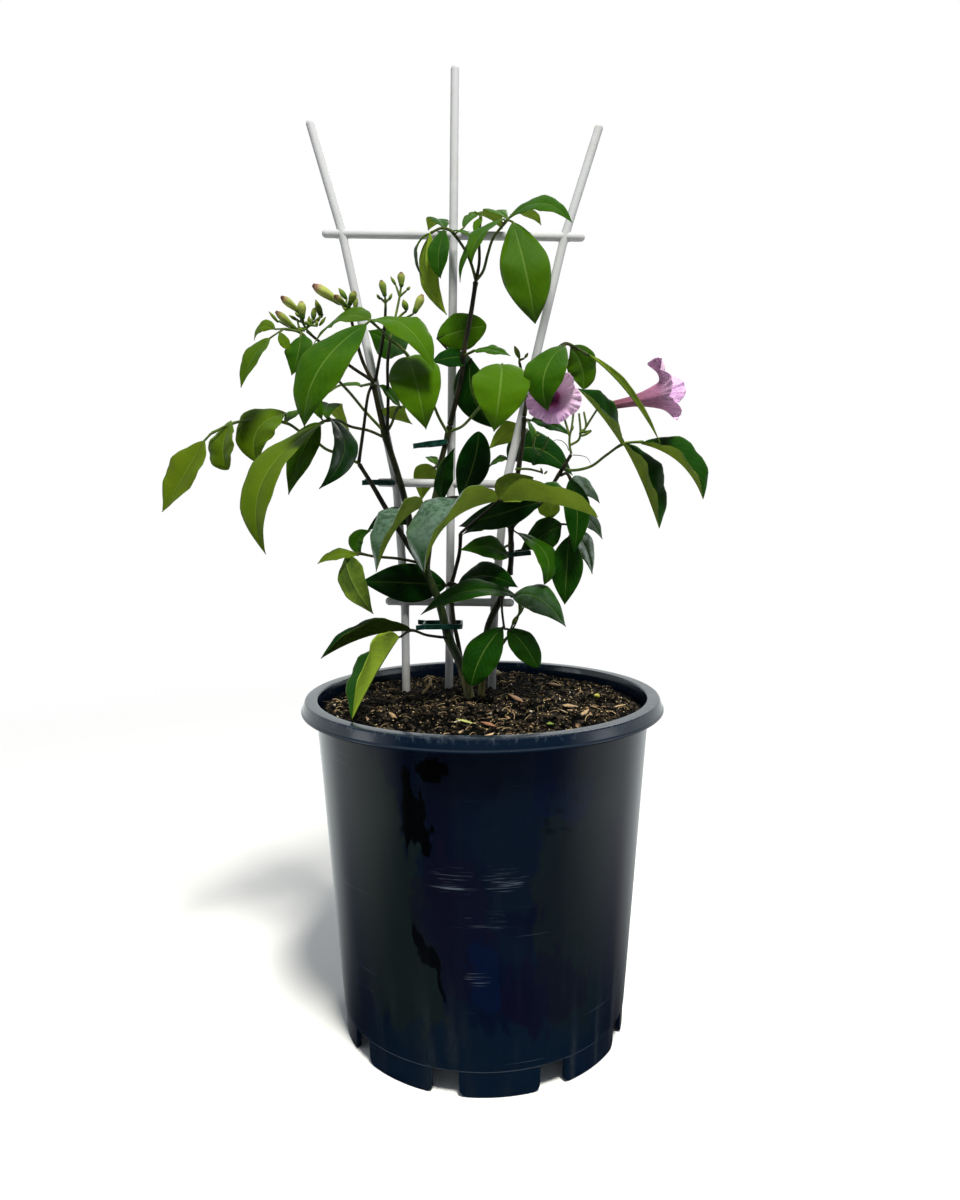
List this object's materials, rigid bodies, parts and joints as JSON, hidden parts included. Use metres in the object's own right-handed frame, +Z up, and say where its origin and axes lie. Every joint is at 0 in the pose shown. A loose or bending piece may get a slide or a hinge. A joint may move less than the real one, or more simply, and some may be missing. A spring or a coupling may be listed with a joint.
{
  "type": "potted climbing vine",
  "caption": "Climbing vine with paired leaflets and pink trumpet flowers, in a tapered nursery pot, tied to a fan trellis of round rods.",
  "frame": {"origin": "middle of the whole plant's box, on the ground plane under the pot", "axes": "+Z up, seen from the front along +Y, trellis in a plane of constant Y"},
  "size_m": [0.3002, 0.2054, 0.5517],
  "materials": {
    "pot": "dark navy blow-moulded plastic, glossy with pale scuffs",
    "soil": "damp potting mix of bark, fibre and perlite",
    "trellis": "white moulded plastic, satin",
    "tie": "dark green plastic, satin",
    "stem": "thin woody stem, brown-green",
    "leaf": "leathery leaf, glossy above and matte yellow-green below",
    "bud": "pale yellow-green bud flushed with pink",
    "petal": "soft pink petal with a deep magenta throat"
  },
  "bodies": {
    "root": {"cane-left": "stem", "cane-centre": "stem", "cane-right": "stem", "stem-slender": "stem", "trellis": "trellis", "pot": "pot", "soil": "soil", "tie-left": "tie", "tie-centre": "tie", "tie-low": "tie", "tie-right": "tie", "leaf-top-right": "leaf", "leaf-top-left": "leaf", "leaf-upper-left": "leaf", "leaf-middle": "leaf", "leaf-centre": "leaf", "leaf-centre-right": "leaf", "leaf-far-left": "leaf", "leaf-left-tip": "leaf", "leaf-left-hanging": "leaf", "leaf-inner-left": "leaf", "leaf-inner-back": "leaf", "leaf-shaded": "leaf", "leaf-behind": "leaf", "leaf-right-back": "leaf", "leaf-right-upper": "leaf", "leaf-under-flower": "leaf", "leaf-front": "leaf", "leaf-front-left": "leaf", "leaf-left-shaded": "leaf", "leaf-under": "leaf", "leaf-dark-under": "leaf", "leaf-low-left": "leaf", "leaf-low-pair": "leaf", "leaf-low-front": "leaf", "leaf-over-rim": "leaf", "leaf-low-hanging": "leaf", "leaf-low-right": "leaf", "leaf-right-cluster": "leaf", "leaf-over-flower": "leaf", "leaf-far-right": "leaf", "leaf-shoot": "leaf", "buds-left-outer": "bud", "buds-left-inner": "bud", "buds-centre-left": "bud", "buds-centre-right": "bud", "buds-right": "bud", "flower-spray": "stem", "flower-front": "petal", "flower-side": "petal"}
  },
  "joints": []
}
